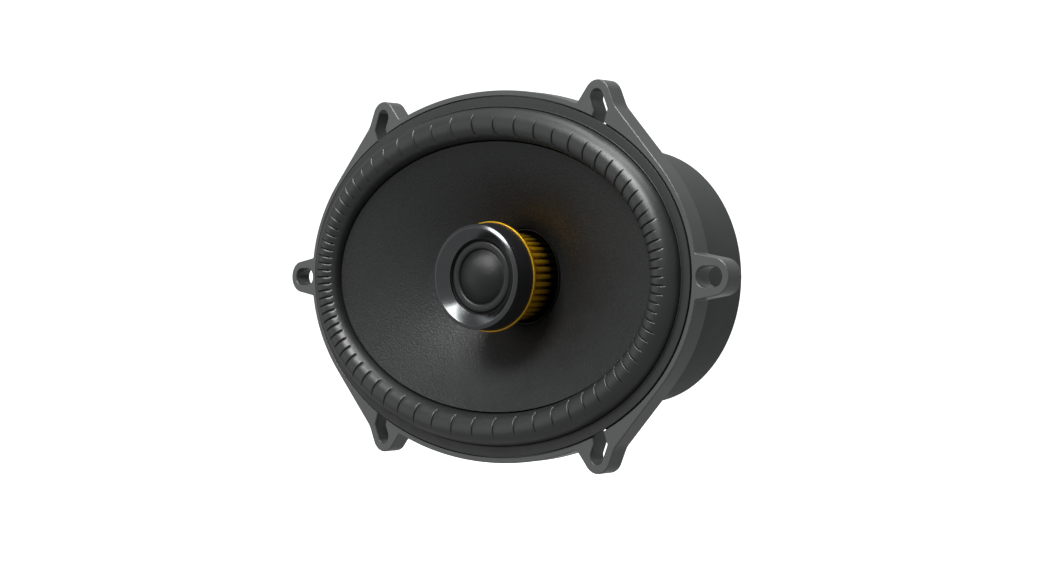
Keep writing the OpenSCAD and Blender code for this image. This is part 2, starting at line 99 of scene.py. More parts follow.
class Nodes:
    """A node material in the making: short names for the nodes that the finishes share."""

    def __init__(self, name):
        self.material = bpy.data.materials.new(name)
        self.material.use_nodes = True
        self.tree = self.material.node_tree
        self.tree.nodes.clear()
        self.out = self.tree.nodes.new("ShaderNodeOutputMaterial")
        self.shader = self.tree.nodes.new("ShaderNodeBsdfPrincipled")
        self.link(self.shader.outputs["BSDF"], self.out.inputs["Surface"])
        self.coord = self.tree.nodes.new("ShaderNodeTexCoord").outputs["Object"]

    def link(self, a, b):
        self.tree.links.new(a, b)

    def stretched(self, scale):
        node = self.tree.nodes.new("ShaderNodeMapping")
        node.inputs["Scale"].default_value = scale
        self.link(self.coord, node.inputs["Vector"])
        return node.outputs["Vector"]

    def noise(self, scale, detail, coord=None):
        node = self.tree.nodes.new("ShaderNodeTexNoise")
        node.inputs["Scale"].default_value = scale
        node.inputs["Detail"].default_value = detail
        node.inputs["Roughness"].default_value = 0.55
        self.link(coord or self.coord, node.inputs["Vector"])
        return node.outputs["Fac"]

    def cells(self, scale):
        node = self.tree.nodes.new("ShaderNodeTexVoronoi")
        node.inputs["Scale"].default_value = scale
        self.link(self.coord, node.inputs["Vector"])
        return node.outputs["Color"]

    def waves(self, scale, axis, distortion):
        node = self.tree.nodes.new("ShaderNodeTexWave")
        node.wave_type = "BANDS"
        node.bands_direction = axis
        node.inputs["Scale"].default_value = scale
        node.inputs["Distortion"].default_value = distortion
        node.inputs["Detail"].default_value = 1.0
        self.link(self.coord, node.inputs["Vector"])
        return node.outputs["Fac"]

    def maths(self, operation, a, b):
        node = self.tree.nodes.new("ShaderNodeMath")
        node.operation = operation
        for socket, value in zip(node.inputs, (a, b)):
            if isinstance(value, (int, float)):
                socket.default_value = value
            else:
                self.link(value, socket)
        return node.outputs[0]

    def spread(self, value, low_in, high_in, low_out, high_out):
        node = self.tree.nodes.new("ShaderNodeMapRange")
        for name, number in (
            ("From Min", low_in), ("From Max", high_in), ("To Min", low_out), ("To Max", high_out)
        ):
            node.inputs[name].default_value = number
        self.link(value, node.inputs["Value"])
        return node.outputs["Result"]

    def ramp(self, value, stops):
        node = self.tree.nodes.new("ShaderNodeValToRGB")
        elements = node.color_ramp.elements
        while len(elements) < len(stops):
            elements.new(0.5)
        for element, (place, colour) in zip(elements, stops):
            element.position = place
            element.color = colour
        self.link(value, node.inputs["Fac"])
        return node.outputs["Color"]

    def bump(self, value, distance, before=None):
        node = self.tree.nodes.new("ShaderNodeBump")
        node.inputs["Distance"].default_value = distance * MM
        node.inputs["Strength"].default_value = 1.0
        self.link(value, node.inputs["Height"])
        if before is not None:
            self.link(before, node.inputs["Normal"])
        return node.outputs["Normal"]


def finish(
    name, dark, light, rough, metal=0.0, grain=(900, 0.05), patch=40, spots=None, weave=None,
    rings=None, specular=0.5, coat=0.0, sheen=0.0, stretch=None, painted_shade=None,
):
    """One procedural finish: patchy colour, uneven gloss and fine relief, and where asked a painted shade
    that darkens the colour along Y. Sizes are in 1/m and mm.
    """
    n = Nodes(name)
    s = n.shader
    s.inputs["Metallic"].default_value = metal
    s.inputs["Specular IOR Level"].default_value = specular
    s.inputs["Coat Weight"].default_value = coat
    s.inputs["Coat Roughness"].default_value = 0.25
    s.inputs["Sheen Weight"].default_value = sheen
    s.inputs["Sheen Roughness"].default_value = 0.5
    place = n.stretched(stretch) if stretch else n.coord
    colour = n.ramp(n.noise(patch, 4.0, coord=place), [(0.3, dark), (0.7, light)])
    normal = n.bump(n.noise(grain[0], 4.0, coord=place), grain[1])
    if spots:
        cell = n.cells(spots[0])
        pick = n.spread(cell, spots[1], 1.0, 0.0, 1.0)
        mix = n.tree.nodes.new("ShaderNodeMix")
        mix.data_type = "RGBA"
        n.link(pick, mix.inputs["Factor"])
        n.link(colour, mix.inputs[6])
        mix.inputs[7].default_value = spots[2]
        colour = mix.outputs[2]
        normal = n.bump(cell, spots[3], before=normal)
    # Painted shade: between two stations along Y (mm) the colour turns to a given dark colour.
    if painted_shade:
        apart = n.tree.nodes.new("ShaderNodeSeparateXYZ")
        n.link(n.coord, apart.inputs["Vector"])
        mix = n.tree.nodes.new("ShaderNodeMix")
        mix.data_type = "RGBA"
        n.link(n.spread(apart.outputs["Y"], painted_shade[0] * MM, painted_shade[1] * MM, 0.0, 1.0), mix.inputs["Factor"])
        n.link(colour, mix.inputs[6])
        mix.inputs[7].default_value = painted_shade[2]
        colour = mix.outputs[2]
    if weave:
        cross = n.maths("MULTIPLY", n.waves(weave[0], "X", 0.4), n.waves(weave[0], "Z", 0.4))
        normal = n.bump(cross, weave[1], before=normal)
    if rings:
        normal = n.bump(n.waves(rings[0], "Y", 0.3), rings[1], before=normal)
    n.link(colour, s.inputs["Base Color"])
    n.link(n.spread(n.noise(150, 5.0, coord=place), 0.3, 0.7, rough[0], rough[1]), s.inputs["Roughness"])
    n.link(normal, s.inputs["Normal"])
    return n.material


FINISH = {
    "basket_metal": finish(
        "basket_metal", srgb(70, 72, 72), srgb(77, 79, 79), (0.36, 0.44), grain=(2400, 0.02), coat=0.9
    ),
    "trim_plastic": finish(
        "trim_plastic", srgb(42, 43, 43), srgb(47, 48, 48), (0.45, 0.58), grain=(2000, 0.03), coat=0.3
    ),
    "surround_rubber": finish(
        "surround_rubber", srgb(26, 28, 28), srgb(33, 35, 35), (0.37, 0.43), grain=(1500, 0.015),
        specular=0.95
    ),
    "cone_poly": finish(
        "cone_poly", srgb(34, 35, 35), srgb(39, 40, 40), (0.37, 0.45), grain=(1250, 0.22),
        spots=(1900, 0.55, srgb(45, 47, 47), 0.03)
    ),
    "spider_cloth": finish(
        "spider_cloth", srgb(150, 122, 66), srgb(176, 146, 86), (0.75, 0.9), weave=(900, 0.12), sheen=0.2
    ),
    "plated_steel": finish(
        "plated_steel", srgb(150, 150, 146), srgb(176, 174, 166), (0.28, 0.42), metal=1.0, grain=(600, 0.02)
    ),
    "ferrite": finish("ferrite", srgb(48, 48, 50), srgb(60, 60, 62), (0.6, 0.8), grain=(700, 0.12)),
    "copper": finish("copper", srgb(176, 96, 62), srgb(200, 120, 84), (0.3, 0.45), metal=1.0),
    "cover_plastic": finish(
        "cover_plastic", srgb(63, 66, 66), srgb(69, 72, 72), (0.42, 0.52), grain=(1600, 0.03)
    ),
    # Gold, with painted shade: the colour turns near black from 5.5 to 12.5 mm along Y, towards the cone's
    # neck, where the bowl shades the post.
    "gold_anodised": finish(
        "gold_anodised", srgb(224, 172, 24), srgb(234, 184, 34), (0.36, 0.46), metal=0.6,
        grain=(1500, 0.01), patch=90, painted_shade=(5.5, 12.5, srgb(14, 11, 8))
    ),
    "housing_plastic": finish(
        "housing_plastic", srgb(34, 34, 37), srgb(42, 42, 45), (0.4, 0.52), grain=(2600, 0.02)
    ),
    "bezel_metal": finish(
        "bezel_metal", srgb(101, 103, 104), srgb(110, 112, 113), (0.17, 0.22), metal=1.0,
        grain=(3000, 0.004)
    ),
    "tweeter_rubber": finish(
        "tweeter_rubber", srgb(36, 37, 37), srgb(42, 43, 43), (0.36, 0.46), grain=(1800, 0.02)
    ),
    "dome_cloth": finish(
        "dome_cloth", srgb(30, 31, 31), srgb(36, 37, 37), (0.33, 0.38), weave=(2600, 0.015)
    ),
    "neodymium": finish("neodymium", srgb(170, 172, 176), srgb(190, 192, 194), (0.2, 0.3), metal=1.0),
    "board_plastic": finish(
        "board_plastic", srgb(28, 27, 25), srgb(40, 38, 35), (0.4, 0.6), grain=(1300, 0.05),
        stretch=(1, 4, 1)
    ),
    "terminal_tin": finish(
        "terminal_tin", srgb(186, 184, 176), srgb(206, 204, 196), (0.22, 0.4), metal=1.0, stretch=(3, 1, 1)
    ),
    "tinsel": finish(
        "tinsel", srgb(176, 120, 84), srgb(206, 150, 108), (0.3, 0.5), metal=0.8, grain=(2500, 0.1)
    ),
    "capacitor_film": finish(
        "capacitor_film", srgb(26, 42, 96), srgb(34, 54, 116), (0.25, 0.4), grain=(300, 0.05), coat=0.3
    ),
    "wire_red": finish("wire_red", srgb(150, 22, 20), srgb(172, 34, 30), (0.35, 0.5)),
    "wire_black": finish("wire_black", srgb(24, 24, 25), srgb(34, 34, 35), (0.35, 0.5)),
    # Former's colour: near black, painted shade for the dark of the cone's neck hole.
    "kapton": finish("kapton", srgb(12, 10, 8), srgb(18, 15, 12), (0.5, 0.65), specular=0.3),
    "coil_wire": finish(
        "coil_wire", srgb(166, 84, 42), srgb(190, 104, 58), (0.25, 0.4), metal=1.0, rings=(1500, 0.15)
    ),
}


# ---------------------------------------------------------------- mesh tools
def obj_of(name, verts, faces, sharp=40):
    """A mesh object from points in millimetres, welded, with its normals outward."""
    mesh = bpy.data.meshes.new(name)
    mesh.from_pydata((np.asarray(verts, float).reshape(-1, 3) * MM).tolist(), [], faces)
    work = bmesh.new()
    work.from_mesh(mesh)
    bmesh.ops.remove_doubles(work, verts=work.verts, dist=2e-6)
    bmesh.ops.recalc_face_normals(work, faces=work.faces)
    work.to_mesh(mesh)
    work.free()
    mesh.shade_smooth()
    mesh.set_sharp_from_angle(angle=math.radians(sharp))
    obj = bpy.data.objects.new(name, mesh)
    bpy.context.scene.collection.objects.link(obj)
    return obj


def strips(first, second, count):
    """The quads between two closed loops of count points that start at the numbers first and second."""
    return [
        (first + i, first + (i + 1) % count, second + (i + 1) % count, second + i) for i in range(count)
    ]


def skin(name, loops, closed=True, sharp=40, caps=False):
    """A skin through closed loops of points; closed joins the last loop to the first."""
    count = len(loops[0])
    faces = []
    for j in range(len(loops) if closed else len(loops) - 1):
        faces += strips(j * count, (j + 1) % len(loops) * count, count)
    if caps:
        faces.append(tuple(range(count)))
        faces.append(tuple(range((len(loops) - 1) * count, len(loops) * count)))
    return obj_of(name, np.vstack(loops), faces, sharp)


def filleted(corners, n=5):
    """A profile whose corners (a, b, radius) are rounded; a corner of two numbers stays sharp."""
    points = []
    for i, corner in enumerate(corners):
        p = np.array(corner[:2], float)
        radius = corner[2] if len(corner) > 2 else 0
        if not radius:
            points.append(p)
            continue
        ends = []
        for other in (corners[i - 1], corners[(i + 1) % len(corners)]):
            d = np.array(other[:2], float) - p
            length = np.linalg.norm(d)
            ends.append(p + d / length * min(radius, 0.48 * length))
        for t in np.linspace(0, 1, n):
            points.append((1 - t) ** 2 * ends[0] + 2 * t * (1 - t) * p + t * t * ends[1])
    return points


def turned(name, profile, seg=128, place=None, sharp=40):
    """A turned solid; place turns (radius, angle, station) into a point, about the main axis by default."""
    place = place or main_axis
    angles = [TAU * i / seg for i in range(seg)]
    return skin(name, [np.array([place(r, a, y) for a in angles]) for r, y in profile], sharp=sharp)


def main_axis(r, a, y):
    return (r * math.cos(a), y, r * math.sin(a))


def head_point(x, z, h):
    """A point of the tweeter's head: x across, z up, h forward along the head's own axis."""
    return (
        x * math.cos(TILT) + h * math.sin(TILT),
        PIVOT_Y + x * math.sin(TILT) - h * math.cos(TILT),
        z,
    )


def head_axis(r, a, h):
    return head_point(r * math.cos(a), r * math.sin(a), h)


def oval(phi, o):
    """The point on the line o outside the cone's edge where the normal points at the angle phi."""
    t = math.atan2(EDGE_B * math.sin(phi), EDGE_A * math.cos(phi))
    return (EDGE_A * math.cos(t) + o * math.cos(phi), EDGE_B * math.sin(t) + o * math.sin(phi))


def oval_t(t, o):
    """The same line by the ellipse's own angle."""
    nx, nz = math.cos(t) / EDGE_A, math.sin(t) / EDGE_B
    size = math.hypot(nx, nz)
    return (EDGE_A * math.cos(t) + o * nx / size, EDGE_B * math.sin(t) + o * nz / size)


def reach(phi):
    """The edge's radius of curvature at the normal angle phi."""
    a, b = EDGE_A, EDGE_B
    return a * a * b * b / ((a * math.cos(phi)) ** 2 + (b * math.sin(phi)) ** 2) ** 1.5


def even_angles(count):
    """Normal angles whose points are about evenly spaced round the roll."""
    fine = np.linspace(0, TAU, 4001)
    step = np.array([reach(p) + 7 for p in fine])
    run = np.concatenate([[0], np.cumsum((step[1:] + step[:-1]) / 2)])
    return np.interp(np.arange(count) / count * run[-1], run, fine)


def oval_sweep(name, section, seg=256):
    """A ring of one section (o, y) swept round the cone's edge."""
    angles = even_angles(seg)
    loops = []
    for o, y in section:
        loops.append(np.array([(oval(p, o)[0], y, oval(p, o)[1]) for p in angles]))
    return skin(name, loops)


def put(obj, slot, body=ROOT, nodes=()):
    """Gives a new piece its finish and its body, and hides the CAD nodes that it stands for."""
    obj.data.materials.clear()
    obj.data.materials.append(FINISH[slot])
    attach(obj, body)
    if nodes:
        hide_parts(*nodes)
    return obj


def bevel(obj, width, segments=3, angle=35):
    modifier = obj.modifiers.new("bevel", "BEVEL")
    modifier.width = width * MM
    modifier.segments = segments
    modifier.limit_method = "ANGLE"
    modifier.angle_limit = math.radians(angle)
    modifier.use_clamp_overlap = True
    modifier.harden_normals = False
    return obj


def eased(node, name, slot, width, body=ROOT, segments=3):
    """The CAD node's own solid with its edges broken."""
    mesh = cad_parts[node].data.copy()
    mesh.name = name
    work = bmesh.new()
    work.from_mesh(mesh)
    bmesh.ops.remove_doubles(work, verts=work.verts, dist=2e-6)
    bmesh.ops.dissolve_limit(work, angle_limit=math.radians(1), verts=work.verts, edges=work.edges)
    work.to_mesh(mesh)
    work.free()
    mesh.shade_smooth()
    mesh.set_sharp_from_angle(angle=math.radians(30))
    obj = bpy.data.objects.new(name, mesh)
    bpy.context.scene.collection.objects.link(obj)
    bevel(obj, width, segments)
    return put(obj, slot, body, [node])


# ---------------------------------------------------------------- flange with its ears and slots
EAR_TIP = np.array([56.6, 62.6])
EAR_R = 6.2
EAR_FLANK = np.array([64.9, 59.2])
EAR_FOOT_T = 60.2
EAR_END_T = 30
SLOT_BEND = np.array([58.5, 58.1])
SLOT_MOUTH = np.array([56.9, 54.0])
SLOT_R = 2.9
END_EAR_X = 108.3
END_EAR_R = 6.3
END_FOOT_T = 5.5
END_SLOT_X = 106.3
END_SLOT_R = 3.4
END_SLOT_HALF = 2.0


def arc(centre, r, start, end, n):
    """Points round part of a circle, from one angle to another in degrees."""
    angles = np.radians(np.linspace(start, end, n + 1))
    return [(centre[0] + r * math.cos(a), centre[1] + r * math.sin(a)) for a in angles]


def touch(centre, r, point, side):
    """Where, in degrees, a line from the point touches the circle, on one side or the other."""
    d = np.asarray(point) - centre
    return math.degrees(math.atan2(d[1], d[0])) + side * math.degrees(math.acos(r / np.linalg.norm(d)))


def softened(points, corner, radius, n=6):
    """The points with the sharp corner (one of them) rounded."""
    i = min(range(len(points)), key=lambda k: math.dist(points[k], corner))
    p = np.array(points[i])
    ends = []
    for other in (points[i - 1], points[i + 1]):
        d = np.array(other) - p
        ends.append(p + d / np.linalg.norm(d) * min(radius, 0.48 * np.linalg.norm(d)))
    curve = [(1 - t) ** 2 * ends[0] + 2 * t * (1 - t) * p + t * t * ends[1] for t in np.linspace(0, 1, n)]
    return points[:i] + [tuple(c) for c in curve] + points[i + 1:]


def flange_outline():
    foot = oval_t(math.radians(EAR_FOOT_T), OUTER)
    end_foot = oval_t(math.radians(END_FOOT_T), OUTER)
    quarter = arc((END_EAR_X, 0), END_EAR_R, 0, touch((END_EAR_X, 0), END_EAR_R, end_foot, -1), 14)
    quarter += [oval_t(math.radians(t), OUTER) for t in np.arange(END_FOOT_T, EAR_END_T + 0.1, 1.5)]
    quarter.append(tuple(EAR_FLANK))
    quarter += arc(
        EAR_TIP, EAR_R, touch(EAR_TIP, EAR_R, EAR_FLANK, 1), touch(EAR_TIP, EAR_R, foot, -1) + 360, 20
    )
    quarter += [oval_t(math.radians(t), OUTER) for t in np.arange(EAR_FOOT_T, 89.5, 1.5)]
    quarter = softened(quarter, EAR_FLANK, 1.5)
    quarter = softened(quarter, foot, 0.8)
    quarter = softened(quarter, end_foot, 0.5)
    top = quarter + [(-x, z) for x, z in reversed(quarter)]
    return top + [(x, -z) for x, z in reversed(top)][1:-1]


def dog_leg(sx, sz):
    """A corner slot, from its tip round the bend to its mouth, mirrored by the two signs."""
    a = math.degrees(math.atan2(*(SLOT_BEND - EAR_TIP)[::-1]))
    b = math.degrees(math.atan2(*(SLOT_MOUTH - SLOT_BEND)[::-1]))
    inner = math.radians((a + b) / 2 - 90)
    reach_in = SLOT_R / math.cos(math.radians(a - b) / 2)
    corner = reach_in * np.array([math.cos(inner), math.sin(inner)])
    points = arc(EAR_TIP, SLOT_R, a + 90, a + 270, 20)
    points.append(tuple(SLOT_BEND + corner))
    points += arc(SLOT_MOUTH, SLOT_R, b - 90, b + 90, 20)
    points.append(tuple(SLOT_BEND - corner))
    return [(sx * x, sz * z) for x, z in points]


def end_slot(sx):
    points = arc((END_SLOT_X - END_SLOT_HALF, 0), END_SLOT_R, 90, 270, 16)
    points += arc((END_SLOT_X + END_SLOT_HALF, 0), END_SLOT_R, -90, 90, 16)
    return [(sx * x, z) for x, z in points]


def anticlockwise(points):
    p = np.array(points)
    q = np.roll(p, -1, axis=0)
    return p if np.sum(p[:, 0] * q[:, 1] - q[:, 0] * p[:, 1]) > 0 else p[::-1]


def grown(points, d):
    """The closed line moved outwards by d, with its corners kept."""
    before = points - np.roll(points, 1, axis=0)
    after = np.roll(points, -1, axis=0) - points
    normals = []
    for e in (before, after):
        length = np.linalg.norm(e, axis=1, keepdims=True)
        normals.append(np.stack([e[:, 1], -e[:, 0]], 1) / np.maximum(length, 1e-9))
    total = normals[0] + normals[1]
    return points + d * total / np.maximum(1 + np.sum(normals[0] * normals[1], 1, keepdims=True), 0.3)


def inside(point, line):
    x, z = point
    hit = False
    for (x0, z0), (x1, z1) in zip(line, line[1:] + line[:1]):
        if (z0 > z) != (z1 > z) and x < (x1 - x0) * (z - z0) / (z1 - z0) + x0:
            hit = not hit
    return hit


def flat_faces(lines, numbers):
    """Triangles between an outline and its holes; numbers are the points' own numbers."""
    flat = [Vector(p) for line in lines for p in line]
    edges, start = [], 0
    for line in lines:
        edges += [(start + i, start + (i + 1) % len(line)) for i in range(len(line))]
        start += len(line)
    points, _, triangles, origin, _, _ = geometry.delaunay_2d_cdt(flat, edges, [], 0, 1e-7)
    out = []
    for tri in triangles:
        c = sum((points[i] for i in tri), Vector((0, 0))) / 3
        if inside(c, lines[0]) and not any(inside(c, hole) for hole in lines[1:]):
            out.append(tuple(numbers[origin[i][0]] for i in tri))
    return out


EDGE_STEPS = 4


def plate(name, outline, holes, front, rear, edge):
    """A plate with rounded edges.

    Each hole is (line, rounding, depth of a ledge or None, the ledge's own line).
    """
    verts, faces = [], []

    def add(points, y):
        start = len(verts)
        verts.extend((p[0], y, p[1]) for p in points)
        return start

    def wall(points, side, top, bottom, r_top, r_bottom):
        """Loops down one wall; returns the first and last, which the flat faces start from."""
        n = len(points)
        rows = []
        for k in range(EDGE_STEPS + 1):
            a = math.pi / 2 * k / EDGE_STEPS
            rows.append((-side * r_top * (1 - math.sin(a)), top + r_top * (1 - math.cos(a))))
        for k in range(EDGE_STEPS + 1):
            a = math.pi / 2 * (1 - k / EDGE_STEPS)
            rows.append((-side * r_bottom * (1 - math.sin(a)), bottom - r_bottom * (1 - math.cos(a))))
        starts = [add(grown(points, d), y) for d, y in rows]
        for s, e in zip(starts, starts[1:]):
            faces.extend(strips(s, e, n))
        return (starts[0], n), (starts[-1], n)

    fronts, rears = [], []
    f, r = wall(anticlockwise(outline), 1, front, rear, edge, edge * 0.6)
    fronts.append(f)
    rears.append(r)
    for line, rounding, ledge, inner in holes:
        line = anticlockwise(line)
        if ledge is None:
            f, r = wall(line, -1, front, rear, rounding, rounding * 0.6)
        else:
            n = len(line)
            inner = np.array(inner)
            f, floor = wall(line, -1, front, ledge, rounding, 0.02)
            floor_in, r = wall(inner, -1, ledge, rear, 0.2, 0.3)
            faces.extend(strips(floor[0], floor_in[0], n))
        fronts.append(f)
        rears.append(r)
    for group in (fronts, rears):
        faces += flat_faces([[(verts[s + i][0], verts[s + i][2]) for i in range(n)] for s, n in group],
                            [s + i for s, n in group for i in range(n)])
    return obj_of(name, verts, faces, 50)


oval_angles = even_angles(220)
recess_line = [oval(p, RECESS) for p in oval_angles]
opening_line = [oval(p, OPENING) for p in oval_angles]
slots = [(end_slot(sx), 0.45, None, None) for sx in (1, -1)]
flange = plate(
    "flange", flange_outline(), slots + [(recess_line, 0.15, RECESS_Y, opening_line)], FRONT, 0.0, 0.4
)


def cut(obj, cutters):
    """Cuts the cutters out of the piece and removes them."""
    for cutter in cutters:
        modifier = obj.modifiers.new("cut", "BOOLEAN")
        modifier.operation = "DIFFERENCE"
        modifier.solver = "EXACT"
        modifier.object = cutter
    bpy.context.view_layer.update()
    mesh = bpy.data.meshes.new_from_object(obj.evaluated_get(bpy.context.evaluated_depsgraph_get()))
    obj.modifiers.clear()
    obj.data = mesh
    for cutter in cutters:
        bpy.data.objects.remove(cutter)
    return obj


def slot_cutter(name, line, flare):
    """A slot's cutter, wider at both faces by the rounding of its edges."""
    line = anticlockwise(line)
    rows = [(flare, FRONT - 1)]
    for k in range(EDGE_STEPS + 1):
        a = math.pi / 2 * k / EDGE_STEPS
        rows.append((flare * (1 - math.sin(a)), FRONT + flare * (1 - math.cos(a))))
    for k in range(EDGE_STEPS, -1, -1):
        a = math.pi / 2 * k / EDGE_STEPS
        rows.append((0.5 * flare * (1 - math.sin(a)), -0.5 * flare * (1 - math.cos(a))))
    rows.append((0.5 * flare, 1.0))
    loops = [np.array([(p[0], y, p[1]) for p in grown(line, d)]) for d, y in rows]
    return skin(name, loops, closed=False, caps=True)


cut(flange, [
    slot_cutter(f"cutter_{sx}_{sz}", dog_leg(sx, sz), 0.4) for sx in (1, -1) for sz in (1, -1)
])
flange.data.shade_smooth()
flange.data.set_sharp_from_angle(angle=math.radians(50))
flange.modifiers.new("normals", "WEIGHTED_NORMAL").keep_sharp = True
put(flange, "basket_metal", nodes=["basket"])


# ---------------------------------------------------------------- collar, legs and pot
collar = oval_sweep(
    "collar",
    filleted([(BOWL, -0.4), (BOWL, 9, 0.9), (BOWL - WALL, 9, 0.9), (BOWL - WALL, -0.4)]),
)
put(collar, "basket_metal", nodes=["basket"])

LEGS = 14
LEG_W = 12.5
POT_Y = 31.0
leg_verts, leg_faces = [], []
for k in range(LEGS):
    turn = TAU * (k + 0.5) / LEGS
    t = turn + math.radians(7) * math.sin(2 * turn)
    size = math.hypot((EDGE_A + BOWL) * math.sin(t), (EDGE_B + BOWL) * math.cos(t))
    half = LEG_W / 2 / size
    columns = 4
    rows = 6
    grid = []
    for i in range(columns + 1):
        a = t - half + 2 * half * i / columns
        c = (math.cos(a), math.sin(a))
        outer = (np.array(oval_t(a, BOWL - 0.3)), (CAN_R - 0.3) * np.array(c))
        inner = (np.array(oval_t(a, BOWL - WALL + 0.3)), (CAN_R - WALL + 0.5) * np.array(c))
        ring = []
        for j in range(rows + 1):
            f = j / rows
            p = (1 - f) * outer[0] + f * outer[1]
            ring.append((p[0], 8.5 + (POT_Y + 3.5 - 8.5) * f, p[1]))
        for j in range(rows, -1, -1):
            f = j / rows
            p = (1 - f) * inner[0] + f * inner[1]
            ring.append((p[0], 6 + (POT_Y + 1 - 6) * f, p[1]))
        grid.append(ring)
    n = len(grid[0])
    start = len(leg_verts)
    for ring in grid:
        leg_verts += ring
    for i in range(columns):
        leg_faces += strips(start + i * n, start + (i + 1) * n, n)
    leg_faces.append(tuple(start + i for i in range(n)))
    leg_faces.append(tuple(start + columns * n + i for i in range(n)))
basket_legs = obj_of("basket_legs", leg_verts, leg_faces, 30)
bevel(basket_legs, 0.8, 3, 40)
put(basket_legs, "basket_metal", nodes=["basket"])

POT_IN = CAN_R - WALL
WEB_R, WEB_FRONT, WEB_REAR = 24, 46.5, 48.5
SHELF_R, SHELF_FRONT, SHELF_REAR = 38, 34, 36
pot = turned(
    "pot",
    filleted([
        (POT_IN, POT_Y, 0.6), (CAN_R, POT_Y, 0.8), (CAN_R, CREASE_Y, 0.8), (POT_IN, CREASE_Y),
        (POT_IN, WEB_REAR, 0.8), (WEB_R, WEB_REAR, 0.4), (WEB_R, WEB_FRONT, 0.4), (POT_IN, WEB_FRONT, 0.8),
        (POT_IN, SHELF_REAR, 0.5), (SHELF_R, SHELF_REAR, 0.4), (SHELF_R, SHELF_FRONT, 0.4),
        (POT_IN, SHELF_FRONT, 0.5)
    ]),
    seg=160,
)
put(pot, "basket_metal", nodes=["basket"])


# ---------------------------------------------------------------- gasket ring
FOOT_FRONT = RECESS_Y - 0.8
RING_FRONT = FRONT - 0.3
LIP_FRONT = FRONT - 0.62
gasket = oval_sweep(
    "gasket_ring",
    filleted([
        (RING, FOOT_FRONT), (RING, RING_FRONT, 0.12), (ROLL + 0.62, RING_FRONT),
        (ROLL + 0.5, LIP_FRONT, 0.14), (ROLL + 0.12, LIP_FRONT, 0.14), (ROLL, FOOT_FRONT, 0.2)
    ]),
    seg=360,
)
put(gasket, "trim_plastic", nodes=["gasket_ring"])


# ---------------------------------------------------------------- cone
def cone_y(s):
    return EDGE_Y + NECK_DEPTH * s - 1.6 * math.sin(math.pi * s)


def cone_loop(s, y, count=288):
    out = []
    for i in range(count):
        t = TAU * i / count
        p = oval_t(t, 0)
        out.append((
            (1 - s) * p[0] + s * NECK_R * math.cos(t), y, (1 - s) * p[1] + s * NECK_R * math.sin(t)
        ))
    return np.array(out)


CONE_ROWS = 40
cone_loops = [cone_loop(0.0, EDGE_Y + 0.25)]
for row in range(CONE_ROWS + 1):
    share = 0.004 + 0.996 * row / CONE_ROWS
    cone_loops.append(cone_loop(share, cone_y(share)))
cone_loops += [cone_loop(j / CONE_ROWS, cone_y(j / CONE_ROWS) + 1.2) for j in range(CONE_ROWS, -1, -4)]
cone = skin("cone", cone_loops, sharp=50)
put(cone, "cone_poly", CONE, ["cone"])


# ---------------------------------------------------------------- surround with its notches
NOTCHES = 80
ROLL_MID = 6.42
ROLL_IN = 5.93
ROLL_HIGH = 6.2
GROOVE_DEPTH = 0.62
GROOVE_WIDTH = 0.24


def smooth(x):
    x = min(max(x, 0.0), 1.0)
    return x * x * (3 - 2 * x)


def groove(offset, u, end):
    """How deep the surface lies beside a notch.

    offset is the distance from the notch's line, u the angle over the roll and end where the notch starts.
    """
    length = smooth((u - end) / 30) * smooth((146 - u) / 14)
    below = offset > 0
    reach_of = GROOVE_WIDTH * (0.75 if below else 1.5) * (0.65 + 0.5 * smooth((u - 70) / 60))
    return GROOVE_DEPTH * math.exp(-abs(offset / reach_of) ** 1.5) * length


def surround_mesh():
    random = np.random.default_rng(7)
    columns = []
    for k in range(NOTCHES):
        phi = TAU * k / NOTCHES
        end = 46 + 16 * random.random()
        pitch = TAU / NOTCHES * (reach(phi) + ROLL_MID)
        places = [-0.5, -0.4, 0.4]
        for d in (-0.7, -0.5, -0.36, -0.24, -0.14, -0.06, 0.0, 0.06, 0.13, 0.22, 0.34, 0.5, 0.7):
            places.append(d / pitch)
        if pitch > 4:
            places += [-0.27, 0.27]
        side = -1 if math.sin(phi) * math.cos(phi) < 0 or math.cos(phi) < 0 else 1
        for place in sorted(places):
            columns.append((phi + place * TAU / NOTCHES, side * place * pitch, end))
    loops = []

    def plain(o, y):
        loops.append(np.array([(oval(p, o)[0], y, oval(p, o)[1]) for p, d, e in columns]))

    def roll(rows, wide, tall, sunk):
        for u in rows:
            c, s = math.cos(math.radians(u)), math.sin(math.radians(u))
            loop = []
            for phi, d, end in columns:
                sink = groove(d, u, end) if sunk else 0.0
                p = oval(phi, ROLL_MID + (wide - sink) * c)
                loop.append((p[0], EDGE_Y - (tall - sink) * s, p[1]))
            loops.append(np.array(loop))

    plain(RING - 0.4, RECESS_Y - 0.82)
    plain(ROLL + 0.15, RECESS_Y - 0.82)
    roll(np.linspace(0, 180, 49), ROLL_IN, ROLL_HIGH, True)
    for o, y in ((0.45, -6.3), (0.3, -5.7), (-0.6, -5.45), (-0.6, -4.7), (1.2, -4.9)):
        plain(o, y)
    roll(np.linspace(180, 0, 17), ROLL_IN - 0.8, ROLL_HIGH - 0.8, False)
    plain(ROLL + 0.1, RECESS_Y - 0.02)
    plain(RING - 0.4, RECESS_Y - 0.02)
    return skin("surround", loops, sharp=70)


def radial_blend(obj, slot, node, weight):
    """A ring between the frame and a moving body: gives it its finish, sets its points in place and hides
    its CAD node; weight is worked out for each point but nothing keeps it.
    """
    obj.data.materials.clear()
    obj.data.materials.append(FINISH[slot])
    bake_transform(obj)
    values = [weight(v.co / MM) for v in obj.data.vertices]
    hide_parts(node)
    return obj


